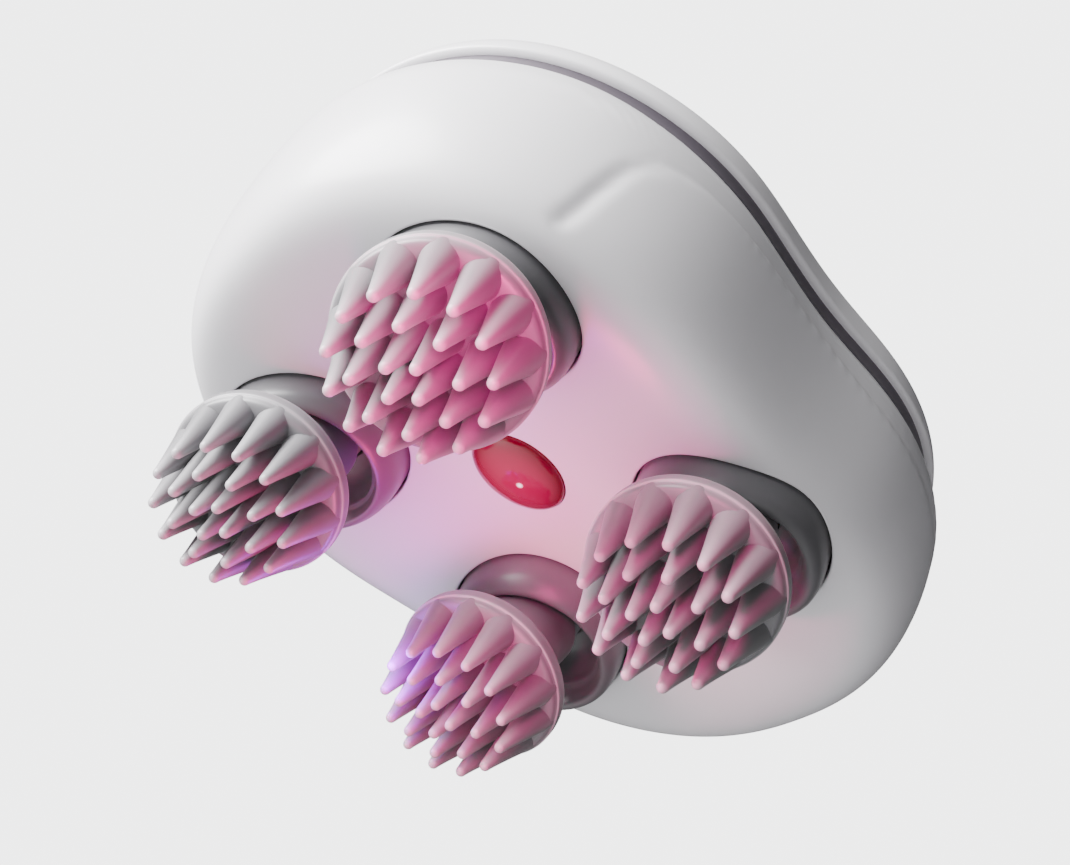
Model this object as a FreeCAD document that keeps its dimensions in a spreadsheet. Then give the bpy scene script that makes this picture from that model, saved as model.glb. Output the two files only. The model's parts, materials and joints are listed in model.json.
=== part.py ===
import FreeCAD, Part

import math
import os
import re
import Sketcher

from FreeCAD import Placement, Rotation, Vector

# Hand-held scalp massager: a peanut-shaped body with four nutating silicone heads under it.
# Millimetres. +Z is up and the heads point down. Z = 0 is the plane the finger tips stand on.
# X is the long axis. X = Y = 0 is the middle of the body. Offsets called *_level are heights
# above the ring plane, the plane of the four boot openings, which lies at ring_height.

DIMENSIONS = [
    # where the heads are
    ("ring_height", 29.96), ("heads_middle", -4.25), ("spacing_across", 21.2), ("spacing_along", 22.34),
    ("pivot_level", 4.2), ("lean_angle", 21),
    # compass direction that each head leans towards at rest
    ("heading_a", -115), ("heading_b", -127), ("heading_c", -154), ("heading_d", -144),
    # body outline and profile
    ("half_length", 57.7), ("half_width", 45.8), ("corner_power", 2.33), ("end_taper", 0.07),
    ("waist_depth", 0.09), ("waist_place", 13.2), ("waist_spread", 19.9),
    ("wall", 2), ("widest_level", 18.3), ("belly_level", -3.5), ("belly_power", 13),
    ("dish_depth", 6), ("lip_level", 26.3), ("lip_inset", 2.7),
    ("groove_gap", 2.4), ("groove_recess", 1.1), ("dome_rise", 17.4), ("dome_power", 2.2),
    ("band_set", 2.25), ("band_below", 2.3), ("band_above", 1.5), ("band_slack", 0.05),
    # boots and openings
    ("opening_radius", 14), ("boot_radius", 13.7), ("boot_bulge", 5), ("bulge_start", 0.6),
    ("bulge_radius", 11.6), ("collar_radius", 17.5), ("collar_level", 5), ("flange_radius", 14.9),
    ("flange_thick", 1), ("throat_radius", 9.5), ("throat_level", 0.8), ("boot_inside", 9),
    ("lip_root", 8.6), ("lip_half", 0.6), ("lip_slope", 0.8), ("ball_gap", 0.3),
    ("clamp_bore", 10), ("clamp_thick", 1.6),
    # heads
    ("ball_radius", 6), ("ball_top", 1), ("core_neck", 5), ("neck_radius", 7.2), ("neck_start", 5),
    ("flare_start", 13), ("rim_start", 20), ("rim_radius", 13), ("rim_end", 22.4), ("rim_round", 0.5),
    ("face_end", 23.6),
    ("core_disc", 9.6), ("core_disc_start", 19.9), ("core_disc_end", 21.5),
    ("cone_tip", 0.75), ("cone_root", 22.2), ("outer_foot", 3.1), ("middle_foot", 2.6), ("inner_foot", 2.5),
    ("outer_ring", 9.4), ("middle_ring", 6.1), ("inner_ring", 2.4),
    ("outer_reach", 32.8), ("middle_reach", 34.2), ("inner_reach", 34.8),
    # crank pins
    ("pin_radius", 2), ("pin_above", 7.5), ("pin_below", 17), ("clip_radius", 3.5), ("clip_start", 14.6),
    ("clip_thick", 0.8), ("cavity_start", 14), ("cavity_radius", 4.1), ("running_gap", 0.05),
    ("face_gap", 0.4), ("shear_block", 20),
    # gearbox
    ("base_level", 8), ("base_thick", 2.5), ("bush_top", 13), ("bush_radius", 8), ("boss_radius", 9.6),
    ("journal_radius", 6), ("gear_level", 13.6), ("gear_face", 3.8), ("second_level", 18.2),
    ("second_face", 3), ("deck_level", 22.2), ("deck_thick", 2), ("stub_radius", 3),
    ("gear_gap", 0.2), ("axle_boss", 1.6),
    ("gear_module", 0.8), ("central_teeth", 47), ("crank_teeth", 30), ("small_teeth", 12),
    ("large_teeth", 40), ("central_axle", 2), ("idler_axle", 1.5),
    ("plate_length", 88), ("plate_width", 72), ("plate_corner", 24),
    ("deck_length", 86), ("deck_width", 60), ("deck_corner", 22), ("post_radius", 3), ("post_room", 12),
    ("post_across", 33), ("post_along", 41), ("leg_along", 39), ("leg_across", 14),
    # screws and the cutters that drill through
    ("screw_radius", 1), ("screw_head", 1.2), ("screw_deep", 6), ("short_screw", 3),
    ("drill", 10), ("long_drill", 30),
    # motor, battery, boards
    ("motor_radius", 12.2), ("motor_tall", 13), ("motor_shaft", 1), ("motor_boss", 3.5), ("boss_gap", 0.1),
    ("boss_tall", 1.5), ("can_wall", 1), ("cap_thick", 1.5), ("motor_hole_place", 8), ("winding_gap", 2.5),
    ("winding_low", 2), ("winding_tall", 8.5),
    ("battery_length", 25), ("battery_width", 34), ("battery_thick", 9), ("battery_place", 27.2),
    ("battery_corner", 0.8),
    ("board_length", 11.6), ("board_width", 30), ("board_thick", 1.4), ("board_level", 15.5),
    ("board_back", 3),
    ("driver_length", 4), ("driver_width", 5), ("driver_place", 10), ("charger_side", 3),
    ("charger_place", 9),
    ("chip_tall", 1), ("capacitor_radius", 1.6), ("capacitor_tall", 4), ("capacitor_place", 12.5),
    # lamp
    ("lens_long", 7.6), ("lens_wide", 6.1), ("lens_bulge", 2.2), ("lens_gap", 0.15), ("lens_flange", 1.4),
    ("lens_barrel", 3.4), ("lens_rim", 1), ("lens_wall", 1.6), ("lens_front", 0.6), ("seal_thick", 0.4),
    ("seal_gap", 0.15),
    ("lamp_board_rim", 2), ("lamp_board_thick", 1), ("lamp_chip", 2), ("lamp_chip_tall", 0.7),
    ("lamp_pitch", 3),
    # button
    ("button_radius", 7.6), ("button_gap", 0.3), ("button_ring", 9.3), ("button_level", 42.4),
    ("button_tall", 3.9), ("button_stand", 0.9), ("seat_rim", 1.5), ("seat_drop", 2), ("seat_tall", 8),
    ("switch_side", 6), ("switch_tall", 1.1), ("button_board_thick", 1.2),
    # charging socket
    ("socket_wide", 9), ("socket_tall", 3.2), ("socket_deep", 7.4), ("socket_face", 55.6),
    ("socket_wall", 0.6), ("socket_back", 0.8), ("tongue_long", 5), ("tongue_wide", 6.6),
    ("tongue_thick", 0.7),
    ("tongue_set", 6.8), ("port_wide", 9.6), ("port_tall", 3.8), ("port_deep", 5),
]

doc = FreeCAD.newDocument("massager")
sheet = doc.addObject("Spreadsheet::Sheet", "Params")
for row, (alias, value) in enumerate(DIMENSIONS, start=1):
    sheet.set(f"A{row}", alias)
    sheet.set(f"B{row}", str(value))
    sheet.setAlias(f"B{row}", alias)
doc.recompute()
size = {alias: float(sheet.get(alias)) for alias, value in DIMENSIONS}
nodes = {}


def bound(text):
    """The same sum or product, with each dimension's name read from the sheet."""
    return re.sub(r"[a-z_]{2,}", lambda word: "Params." + word.group(), text)


def number(text):
    """The value of a sum or difference of terms such as wall, 2*wall or wall/2."""
    total = 0.0
    for term in text.replace(" ", "").replace("-", "+-").split("+"):
        if not term:
            continue
        product = -1.0 if term.startswith("-") else 1.0
        for factor in term.lstrip("-").split("*"):
            top, _, bottom = factor.partition("/")
            product *= size[top] if top in size else float(top)
            product /= float(bottom or 1)
        total += product
    return total


def bind(item, prop, text):
    item.setExpression(prop, bound(text))


def place(item, x="0", y="0", z="0"):
    item.Placement = Placement(Vector(number(x), number(y), number(z)), Rotation())
    for axis, text in zip("xyz", (x, y, z)):
        bind(item, "Placement.Base." + axis, text)
    return item


def cylinder(name, radius, height, x=None, y="0", z="0"):
    item = doc.addObject("Part::Cylinder", name)
    bind(item, "Radius", radius)
    bind(item, "Height", height)
    return item if x is None else place(item, x, y, z)


def box(name, length, width, height, x="0", y="0", z="0"):
    """A block centred on x and y, standing on z."""
    item = doc.addObject("Part::Box", name)
    bind(item, "Length", length)
    bind(item, "Width", width)
    bind(item, "Height", height)
    return place(item, f"{x} - {length}/2", f"{y} - {width}/2", z)


def rounded_box(name, length, width, height, corner, x="0", y="0", z="0"):
    """A block with its four upright edges rounded."""
    block = box(name + "_block", length, width, height, x, y, z)
    doc.recompute()
    upright = [index for index, edge in enumerate(block.Shape.Edges, start=1)
               if abs(edge.tangentAt(edge.FirstParameter).z) > 0.99]
    item = doc.addObject("Part::Fillet", name)
    item.Base = block
    item.Edges = [(index, size[corner], size[corner]) for index in upright]
    return item


def fuse(name, items):
    item = doc.addObject("Part::MultiFuse", name)
    item.Shapes = items
    return item


def cut(name, base, tools):
    item = doc.addObject("Part::Cut", name)
    item.Base = base
    item.Tool = tools[0] if len(tools) == 1 else fuse(name + "_tools", tools)
    return item


def group(name, items):
    item = doc.addObject("Part::Compound", name)
    item.Links = items
    return item


def shaped(name, shape):
    item = doc.addObject("Part::Feature", name)
    item.Shape = shape
    return item


def node(label, item):
    item.Label = label
    nodes[label] = item
    return item


def plane_of(body, role):
    return next(item for item in body.Origin.OriginFeatures if item.Role == role)


def turned_body(name, points):
    """A body with a closed (radius, height) profile turned about its own Z axis."""
    body = doc.addObject("PartDesign::Body", name)
    sketch = body.newObject("Sketcher::SketchObject", name + "_profile")
    sketch.AttachmentSupport = [(plane_of(body, "XZ_Plane"), "")]
    sketch.MapMode = "FlatFace"
    corners = [Vector(number(radius), number(height), 0) for radius, height in points]
    count = len(corners)
    for index in range(count):
        sketch.addGeometry(Part.LineSegment(corners[index], corners[(index + 1) % count]))
    for index in range(count):
        sketch.addConstraint(Sketcher.Constraint("Coincident", index, 2, (index + 1) % count, 1))
    for index, (radius, height) in enumerate(points):
        for kind, axis, text, value in (("DistanceX", -2, radius, corners[index].x),
                                        ("DistanceY", -1, height, corners[index].y)):
            if abs(value) < 1e-9:
                sketch.addConstraint(Sketcher.Constraint("PointOnObject", index, 1, axis))
                continue
            made = sketch.addConstraint(Sketcher.Constraint(kind, -1, 1, index, 1, value))
            label = f"{kind.lower()}{index}"
            sketch.renameConstraint(made, label)
            bind(sketch, "Constraints." + label, text)
    turn = body.newObject("PartDesign::Revolution", name + "_turn")
    turn.Profile = sketch
    turn.ReferenceAxis = (sketch, ["V_Axis"])
    turn.Angle = 360
    body.Tip = turn
    sketch.Visibility = False
    return body


# --- moulded shells: sections of one outline, shrunk and lifted by a profile ------------------

def outline(angle, inset):
    """Superellipse with a slight taper to +X and a waist, moved inwards by inset."""
    c, s = math.cos(angle), math.sin(angle)
    power = size["corner_power"]
    reach = ((abs(c) / size["half_length"]) ** power + (abs(s) / size["half_width"]) ** power) ** (-1 / power)
    x = reach * c
    nip = size["waist_depth"] * math.exp(-((x - size["waist_place"]) / size["waist_spread"]) ** 2)
    y = reach * s * (1 - size["end_taper"] * x / size["half_length"] - nip)
    keep = 1 - inset / math.hypot(x, y)
    return Vector(x * keep, y * keep, 0)


def section(core, inset, weight, level):
    """A closed smooth wire, weight of the way from the core curve to the outline."""
    angles = [2 * math.pi * step / 48 for step in range(48)]
    points = []
    for angle in angles:
        middle = core(angle)
        point = middle + (outline(angle, inset) - middle) * weight
        points.append(Vector(point.x, point.y, size["ring_height"] + level))
    curve = Part.BSplineCurve()
    curve.interpolate(Points=points, PeriodicFlag=True)
    return Part.Wire(curve.toShape())


def lens_oval(angle):
    return Vector(size["heads_middle"] + size["lens_long"] * math.cos(angle),
                  size["lens_wide"] * math.sin(angle), 0)


def button_circle(angle):
    return Vector(size["button_ring"] * math.cos(angle), size["button_ring"] * math.sin(angle), 0)


def belly(inset, lift, over):
    """The filled lower shell: dished belly, tight corner, widest line, then in to the lip."""
    wires = []
    depth = size["widest_level"] - size["belly_level"] - lift
    for weight in (0, 0.15, 0.3, 0.45, 0.58, 0.7, 0.79, 0.86, 0.91, 0.95, 0.98, 1):
        dish = size["dish_depth"] * (1 - weight ** 2) ** 2
        level = size["widest_level"] - depth * math.sqrt(1 - weight ** size["belly_power"]) + dish
        wires.append(section(lens_oval, inset, weight, level))
    rise = size["lip_level"] + over - size["widest_level"]
    for share in (0.3, 0.6, 0.85, 1):
        tuck = size["lip_inset"] * share ** 2
        wires.append(section(lens_oval, inset + tuck, 1, size["widest_level"] + rise * share))
    return Part.makeLoft(wires, True, False)


def dome(inset, rise, under):
    """The filled top cover, from the button opening down to its straight edge."""
    edge = size["lip_level"] + size["groove_gap"]
    wires = []
    for weight in (0, 0.2, 0.4, 0.55, 0.7, 0.8, 0.88, 0.94, 0.975, 0.993):
        level = edge + rise * math.sqrt(1 - weight ** size["dome_power"])
        wires.append(section(button_circle, inset, weight, level))
    wires.append(section(button_circle, inset, 1, edge - under))
    return Part.makeLoft(wires, True, False)


def at_heads(suffix="abcd"):
    """Each head's letter and the sheet text for its X and Y."""
    signs = {"a": "- -", "b": "- +", "c": "+ +", "d": "+ -"}
    for letter in suffix:
        along, across = signs[letter].split()
        yield letter, f"heads_middle {along} spacing_along", f"0 {across} spacing_across"


POSTS = (("heads_middle", "post_across"), ("heads_middle", "0 - post_across"),
         ("heads_middle - post_along", "0"), ("heads_middle + post_along", "0"))

outer_belly = shaped("outer_belly", belly(0, 0, 0))
inner_belly = shaped("inner_belly", belly(size["wall"], size["wall"], size["wall"]))
skin = cut("belly_skin", outer_belly, [inner_belly])
bosses = []
for letter, x, y in at_heads():
    bosses.append(cylinder(f"collar_{letter}", "collar_radius", "collar_level + post_room", x, y,
                           "ring_height - post_room"))
for index, (x, y) in enumerate(POSTS):
    bosses.append(cylinder(f"post_{index}", "post_radius", "base_level + post_room", x, y,
                           "ring_height - post_room"))
inside = doc.addObject("Part::MultiCommon", "bosses_inside")
inside.Shapes = [outer_belly, fuse("bosses", bosses)]
holes = []
for letter, x, y in at_heads():
    holes.append(cylinder(f"opening_{letter}", "opening_radius", "long_drill", x, y,
                          "ring_height - long_drill/2"))
for index, (x, y) in enumerate(POSTS):
    holes.append(cylinder(f"post_hole_{index}", "screw_radius", "screw_deep", x, y,
                          "ring_height + base_level - screw_deep"))
oval = Part.Ellipse(Vector(0, 0, 0), size["lens_long"], size["lens_wide"])
oval_face = Part.Face(Part.Wire(oval.toShape()))
lens_hole = shaped("lens_hole", oval_face.extrude(Vector(0, 0, 20)))
place(lens_hole, "heads_middle", "0", "ring_height - 10")


def lying_slot(name, length, wide, tall, x, z):
    """A slot with round ends, lying along X from x, centred on Y = 0 and on height z."""
    middle = box(name + "_middle", length, f"{wide} - {tall}", tall)
    place(middle, x, f"{tall}/2 - {wide}/2", f"{z} - {tall}/2")
    pieces = [middle]
    for index, y in enumerate((f"{tall}/2 - {wide}/2", f"{wide}/2 - {tall}/2")):
        end = place(cylinder(f"{name}_end_{index}", f"{tall}/2", length), x, y, z)
        end.Placement = Placement(end.Placement.Base, Rotation(Vector(0, 1, 0), 90))
        pieces.append(end)
    return fuse(name, pieces)


SOCKET_LEVEL = "ring_height + board_level + board_thick + socket_tall/2"
holes.append(lying_slot("port_opening", "drill", "port_wide", "port_tall",
                        "socket_face - port_deep", SOCKET_LEVEL))
lower = cut("lower_shell", fuse("belly_with_bosses", [skin, inside]), holes + [lens_hole])
node("lower_shell", lower)

outer_dome = shaped("outer_dome", dome(size["lip_inset"], size["dome_rise"], 0))
inner_dome = shaped("inner_dome", dome(size["lip_inset"] + size["wall"], size["dome_rise"] - size["wall"], 1))
seat = cylinder("button_seat", "button_ring + seat_rim", "seat_tall", "0", "0",
                "ring_height + button_level - seat_drop")
seat_inside = doc.addObject("Part::MultiCommon", "seat_inside")
seat_inside.Shapes = [outer_dome, seat]
dome_skin = cut("dome_skin", outer_dome, [inner_dome])
button_hole = cylinder("button_hole", "button_ring", "long_drill", "0", "0",
                       "ring_height + button_level - 2*seat_drop")
node("top_cover", cut("top_cover", fuse("dome_with_seat", [dome_skin, seat_inside]), [button_hole]))


def upright_band(inset, low, high):
    wires = [section(button_circle, inset, 1, level) for level in (low, high)]
    return Part.makeLoft(wires, True, True)


# The band stands inside both edges and its rib fills the back of the groove between them.
band_inset = size["lip_inset"] + size["band_set"]
band_low = size["lip_level"] - size["band_below"]
band_high = size["lip_level"] + size["groove_gap"] + size["band_above"]
rib_inset = size["lip_inset"] + size["groove_recess"]
rib_low = size["lip_level"] + size["band_slack"]
rib_high = size["lip_level"] + size["groove_gap"] - size["band_slack"]
band_outer = shaped("band_outer", upright_band(band_inset, band_low, band_high))
band_rib = shaped("band_rib", upright_band(rib_inset, rib_low, rib_high))
band_inner = shaped("band_inner", upright_band(band_inset + size["wall"], band_low - 1, band_high + 1))
node("seam_band", cut("seam_band", fuse("band_solid", [band_outer, band_rib]), [band_inner]))

# Boots and the rings that clamp them.
def bulge_points():
    """The boot's swollen ring: a quarter ellipse from its foot out to its lowest circle."""
    steps = 6
    for step in range(steps + 1):
        angle = math.pi / 2 * step / steps
        radius = size["bulge_radius"] + (size["boot_radius"] - size["bulge_radius"]) * math.cos(angle)
        level = size["bulge_start"] + (size["boot_bulge"] - size["bulge_start"]) * math.sin(angle)
        yield str(round(radius, 4)), str(round(-level, 4))


BOOT_PROFILE = list(bulge_points()) + [
    ("throat_radius", "throat_level"), ("lip_root", "pivot_level - lip_half - lip_slope"),
    ("ball_radius + ball_gap", "pivot_level - lip_half"),
    ("ball_radius + ball_gap", "pivot_level + lip_half"),
    ("boot_inside", "collar_level + flange_thick"), ("flange_radius", "collar_level + flange_thick"),
    ("flange_radius", "collar_level"), ("boot_radius", "collar_level"),
]
CLAMP_PROFILE = [
    ("clamp_bore", "collar_level + flange_thick"), ("flange_radius", "collar_level + flange_thick"),
    ("flange_radius", "collar_level + flange_thick + clamp_thick"),
    ("clamp_bore", "collar_level + flange_thick + clamp_thick"),
]
for letter, x, y in at_heads():
    node(f"boot_{letter}", place(turned_body(f"boot_{letter}", BOOT_PROFILE), x, y, "ring_height"))
    ring = turned_body(f"clamp_ring_{letter}", CLAMP_PROFILE)
    node(f"clamp_ring_{letter}", place(ring, x, y, "ring_height"))

# Heads: a hard core and a silicone cap, both turned about the slanted pin.
def along_pin(item, letter, x, y, start="0"):
    """Stand a piece's own Z axis along a head's slanted pin, starting that far up from the pivot."""
    turn = Rotation(Vector(0, 0, 1), size[f"heading_{letter}"])
    lean = turn * Rotation(Vector(0, 1, 0), -size["lean_angle"])
    pivot = Vector(number(x), number(y), number("ring_height + pivot_level"))
    item.Placement = Placement(pivot + lean.multVec(Vector(0, 0, number(start))), lean)
    return item


def ball_points():
    """The ball from its cut top down to the neck, as points of its circle."""
    radius = size["ball_radius"]
    top = math.acos(size["ball_top"] / radius)
    bottom = math.pi - math.asin(size["core_neck"] / radius)
    steps = 7
    for step in range(steps + 1):
        angle = top + (bottom - top) * step / steps
        yield str(round(radius * math.sin(angle), 4)), str(round(radius * math.cos(angle), 4))


CORE_PROFILE = [("pin_radius + running_gap", "ball_top")] + list(ball_points()) + [
    ("core_neck", "0 - core_disc_start"), ("core_disc", "0 - core_disc_start"),
    ("core_disc", "0 - core_disc_end"), ("cavity_radius", "0 - core_disc_end"),
    ("cavity_radius", "0 - cavity_start"), ("pin_radius + running_gap", "0 - cavity_start"),
]


def flare_points():
    """The cap's back, flaring from the neck out to the rim in a hollow quarter ellipse."""
    steps = 5
    for step in range(1, steps + 1):
        angle = math.pi / 2 * step / steps
        spread = size["rim_radius"] - size["rim_round"] - size["neck_radius"]
        radius = size["neck_radius"] + spread * (1 - math.cos(angle))
        level = size["flare_start"] + (size["rim_start"] - size["flare_start"]) * math.sin(angle)
        yield str(round(radius, 4)), str(round(-level, 4))


CAP_PROFILE = [
    ("core_neck", "0 - neck_start"), ("neck_radius", "0 - neck_start"), ("neck_radius", "0 - flare_start"),
] + list(flare_points()) + [
    ("rim_radius", "0 - rim_start - rim_round"), ("rim_radius", "0 - rim_end"),
    ("rim_radius - rim_round", "0 - rim_end - rim_round"), ("0", "0 - face_end"),
    ("0", "0 - core_disc_end"), ("core_disc", "0 - core_disc_end"),
    ("core_disc", "0 - core_disc_start"), ("core_neck", "0 - core_disc_start"),
]
FINGER_RINGS = (("outer", 13), ("middle", 8), ("inner", 4))


def add_fingers(body):
    """Three rings of tapered fingers with round tips, all parallel to the head's axis."""
    for ring, count in FINGER_RINGS:
        finger = body.newObject("PartDesign::AdditiveCone", f"{body.Name}_{ring}_finger")
        bind(finger, "Radius1", "cone_tip")
        bind(finger, "Radius2", f"{ring}_foot")
        bind(finger, "Height", f"{ring}_reach - cone_tip - cone_root")
        tip = body.newObject("PartDesign::AdditiveSphere", f"{body.Name}_{ring}_tip")
        bind(tip, "Radius", "cone_tip")
        for feature in (finger, tip):
            place(feature, f"0 - {ring}_ring", "0", f"cone_tip - {ring}_reach")
        pattern = body.newObject("PartDesign::PolarPattern", f"{body.Name}_{ring}_ring")
        pattern.Originals = [finger, tip]
        pattern.Axis = (plane_of(body, "Z_Axis"), [""])
        pattern.Angle = 360
        pattern.Occurrences = count
        body.Tip = pattern


for letter, x, y in at_heads():
    node(f"head_core_{letter}", along_pin(turned_body(f"head_core_{letter}", CORE_PROFILE), letter, x, y))
    cap = turned_body(f"head_cap_{letter}", CAP_PROFILE)
    add_fingers(cap)
    node(f"head_cap_{letter}", along_pin(cap, letter, x, y))

# Gears: one central gear drives four crank gears, all in one layer; an idler above them
# steps the motor's speed down.
PRESSURE_ANGLE = math.radians(25)
FLANK_SLACK = 0.06


def involute(angle):
    return math.tan(angle) - angle


def gear(teeth, thick, bore):
    """A spur gear with short involute teeth and backlash, the middle of one tooth on +X."""
    teeth = int(teeth)
    pitch = size["gear_module"] * teeth / 2
    base = pitch * math.cos(PRESSURE_ANGLE)
    tip = pitch + 0.8 * size["gear_module"]
    root = pitch - size["gear_module"]
    low = max(root, base)
    radii = [low + (tip - low) * step / 4 for step in range(5)]
    half_pitch = math.pi / (2 * teeth) - FLANK_SLACK / pitch
    flank = [(radius, half_pitch + involute(PRESSURE_ANGLE) - involute(math.acos(min(1, base / radius))))
             for radius in radii]
    if root < base:
        flank.insert(0, (root, flank[0][1]))
    corners = []
    for tooth in range(teeth):
        middle = 2 * math.pi * tooth / teeth
        corners += [(radius, middle - half) for radius, half in flank]
        corners += [(radius, middle + half) for radius, half in reversed(flank)]
    points = [Vector(radius * math.cos(angle), radius * math.sin(angle), 0) for radius, angle in corners]
    disc = Part.Face(Part.makePolygon(points + points[:1])).extrude(Vector(0, 0, thick))
    return disc.cut(Part.makeCylinder(bore, thick)) if bore else disc


def meshed(phase, teeth, bearing, other_teeth):
    """The turn of a gear that meshes with one turned to phase, which sees it at bearing."""
    offset = (phase - bearing) * teeth / 360
    return bearing + 180 - (offset + 0.5) * 360 / other_teeth


def gear_at(name, teeth, thick, bore, where, level, phase):
    item = shaped(name, gear(teeth, thick, bore))
    spot = Vector(where[0], where[1], number(f"ring_height + {level}"))
    item.Placement = Placement(spot, Rotation(Vector(0, 0, 1), phase))
    return item


module = size["gear_module"]
slip = size["running_gap"]
middle_x = size["heads_middle"]
idler_x = middle_x + module * (size["central_teeth"] + size["small_teeth"]) / 2
motor_x = idler_x - module * (size["large_teeth"] + size["small_teeth"]) / 2
IDLER_X = "heads_middle + gear_module*central_teeth/2 + gear_module*small_teeth/2"
MOTOR_X = "heads_middle + gear_module*central_teeth/2 - gear_module*large_teeth/2"

node("central_gear", gear_at("central_gear", size["central_teeth"], size["gear_face"],
                             size["central_axle"] + slip, (middle_x, 0), "gear_level", 0))
small_phase = meshed(0, size["central_teeth"], 0, size["small_teeth"])
idler_small = gear_at("idler_small", size["small_teeth"], size["second_level"] - size["gear_level"],
                      size["idler_axle"] + slip, (idler_x, 0), "gear_level", small_phase)
idler_large = gear_at("idler_large", size["large_teeth"], size["second_face"],
                      size["idler_axle"] + slip, (idler_x, 0), "second_level", 0)
node("idler_gear", fuse("idler_gear", [idler_small, idler_large]))
pinion_phase = meshed(0, size["large_teeth"], 180, size["small_teeth"])
node("motor_pinion", gear_at("motor_pinion", size["small_teeth"], size["second_face"],
                             size["motor_shaft"], (motor_x, 0), "second_level", pinion_phase))

for letter, x, y in at_heads():
    bearing = math.degrees(math.atan2(number(y), number(x) - middle_x))
    phase = meshed(0, size["central_teeth"], bearing, size["crank_teeth"])
    wheel = gear_at(f"crank_wheel_{letter}", size["crank_teeth"], size["gear_face"], 0,
                    (number(x), number(y)), "gear_level", phase)
    journal = cylinder(f"journal_{letter}", "journal_radius", "gear_level - 1", x, y, "ring_height + 1")
    stub = cylinder(f"stub_{letter}", "stub_radius", "deck_level + deck_thick - gear_level - gear_gap", x, y,
                    "ring_height + gear_level")
    shear = cylinder(f"shear_{letter}", "shear_block", "shear_block")
    along_pin(shear, letter, x, y, "ball_top + face_gap - shear_block")
    seat = cylinder(f"pin_seat_{letter}", "pin_radius", "pin_above + pin_below")
    along_pin(seat, letter, x, y, "0 - pin_below")
    node(f"crank_gear_{letter}", cut(f"crank_gear_{letter}", fuse(f"crank_blank_{letter}",
                                                                [wheel, journal, stub]), [shear, seat]))
    pin = cylinder(f"crank_pin_{letter}", "pin_radius", "pin_above + pin_below")
    node(f"crank_pin_{letter}", along_pin(pin, letter, x, y, "0 - pin_below"))
    clip_low = "0 - clip_start - clip_thick"
    washer = along_pin(cylinder(f"clip_disc_{letter}", "clip_radius", "clip_thick"), letter, x, y, clip_low)
    hole = along_pin(cylinder(f"clip_hole_{letter}", "pin_radius", "clip_thick"), letter, x, y, clip_low)
    node(f"pin_clip_{letter}", cut(f"pin_clip_{letter}", washer, [hole]))

# Gearbox: a base plate with the bearings, and a deck over the gears that carries the motor.
DECK_POSTS = [(f"heads_middle {side} leg_along", f"0 {across} leg_across")
              for side in "-+" for across in "+-"]
BASE = "ring_height + base_level"
BASE_TOP = "ring_height + base_level + base_thick"
DECK = "ring_height + deck_level"
DECK_TOP = "ring_height + deck_level + deck_thick"

plate = rounded_box("base_plate", "plate_length", "plate_width", "base_thick", "plate_corner",
                    "heads_middle", "0", "ring_height + base_level")
raised = [plate]
bores = []
bushes = []
for letter, x, y in at_heads():
    raised.append(cylinder(f"boss_{letter}", "boss_radius", "bush_top - base_level", x, y, BASE))
    bores.append(cylinder(f"bush_bore_{letter}", "bush_radius", "drill", x, y, f"{BASE} - 1"))
    sleeve = cylinder(f"sleeve_{letter}", "bush_radius", "bush_top - base_level", x, y, BASE)
    inner = cylinder(f"sleeve_bore_{letter}", "journal_radius + running_gap", "drill", x, y,
                     f"{BASE} - 1")
    bushes.append(cut(f"bush_{letter}", sleeve, [inner]))
for name, x in (("central", "heads_middle"), ("idler", IDLER_X)):
    raised.append(cylinder(f"{name}_boss", f"{name}_axle + axle_boss",
                           "gear_level - gear_gap - base_level", x, "0", BASE))
    bores.append(cylinder(f"{name}_axle_bore", f"{name}_axle", "drill", x, "0", f"{BASE} - 1"))
for index, (x, y) in enumerate(POSTS):
    bores.append(cylinder(f"base_hole_{index}", "screw_radius", "drill", x, y, f"{BASE} - 1"))
node("gearbox_base", cut("gearbox_base", fuse("base_raised", raised), bores))
node("crank_bushes", group("crank_bushes", bushes))
node("central_axle", cylinder("central_axle_pin", "central_axle",
                              "gear_level + gear_face + 2*gear_gap - base_level", "heads_middle", "0", BASE))
node("idler_axle", cylinder("idler_axle_pin", "idler_axle",
                            "deck_level + deck_thick - base_level", IDLER_X, "0", BASE))

deck = rounded_box("deck_plate", "deck_length", "deck_width", "deck_thick", "deck_corner",
                   "heads_middle", "0", DECK)
legs = [cylinder(f"deck_leg_{index}", "post_radius", "deck_level - base_level - base_thick", x, y, BASE_TOP)
        for index, (x, y) in enumerate(DECK_POSTS)]
openings = [cylinder(f"stub_bore_{letter}", "stub_radius + running_gap", "drill", x, y, f"{DECK} - 1")
            for letter, x, y in at_heads()]
openings += [cylinder(f"leg_hole_{index}", "screw_radius", "drill", x, y, f"{DECK_TOP} - drill")
             for index, (x, y) in enumerate(DECK_POSTS)]
openings.append(cylinder("idler_deck_bore", "idler_axle", "drill", IDLER_X, "0", f"{DECK} - 1"))
openings.append(cylinder("motor_boss_bore", "motor_boss + boss_gap", "drill", MOTOR_X, "0", f"{DECK} - 1"))
motor_screw_places = [(MOTOR_X, "motor_hole_place"), (MOTOR_X, "0 - motor_hole_place")]
openings += [cylinder(f"motor_hole_{index}", "screw_radius", "drill", x, y, f"{DECK} - 1")
             for index, (x, y) in enumerate(motor_screw_places)]
node("gearbox_deck", cut("gearbox_deck", fuse("deck_with_legs", [deck] + legs), openings))


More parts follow.
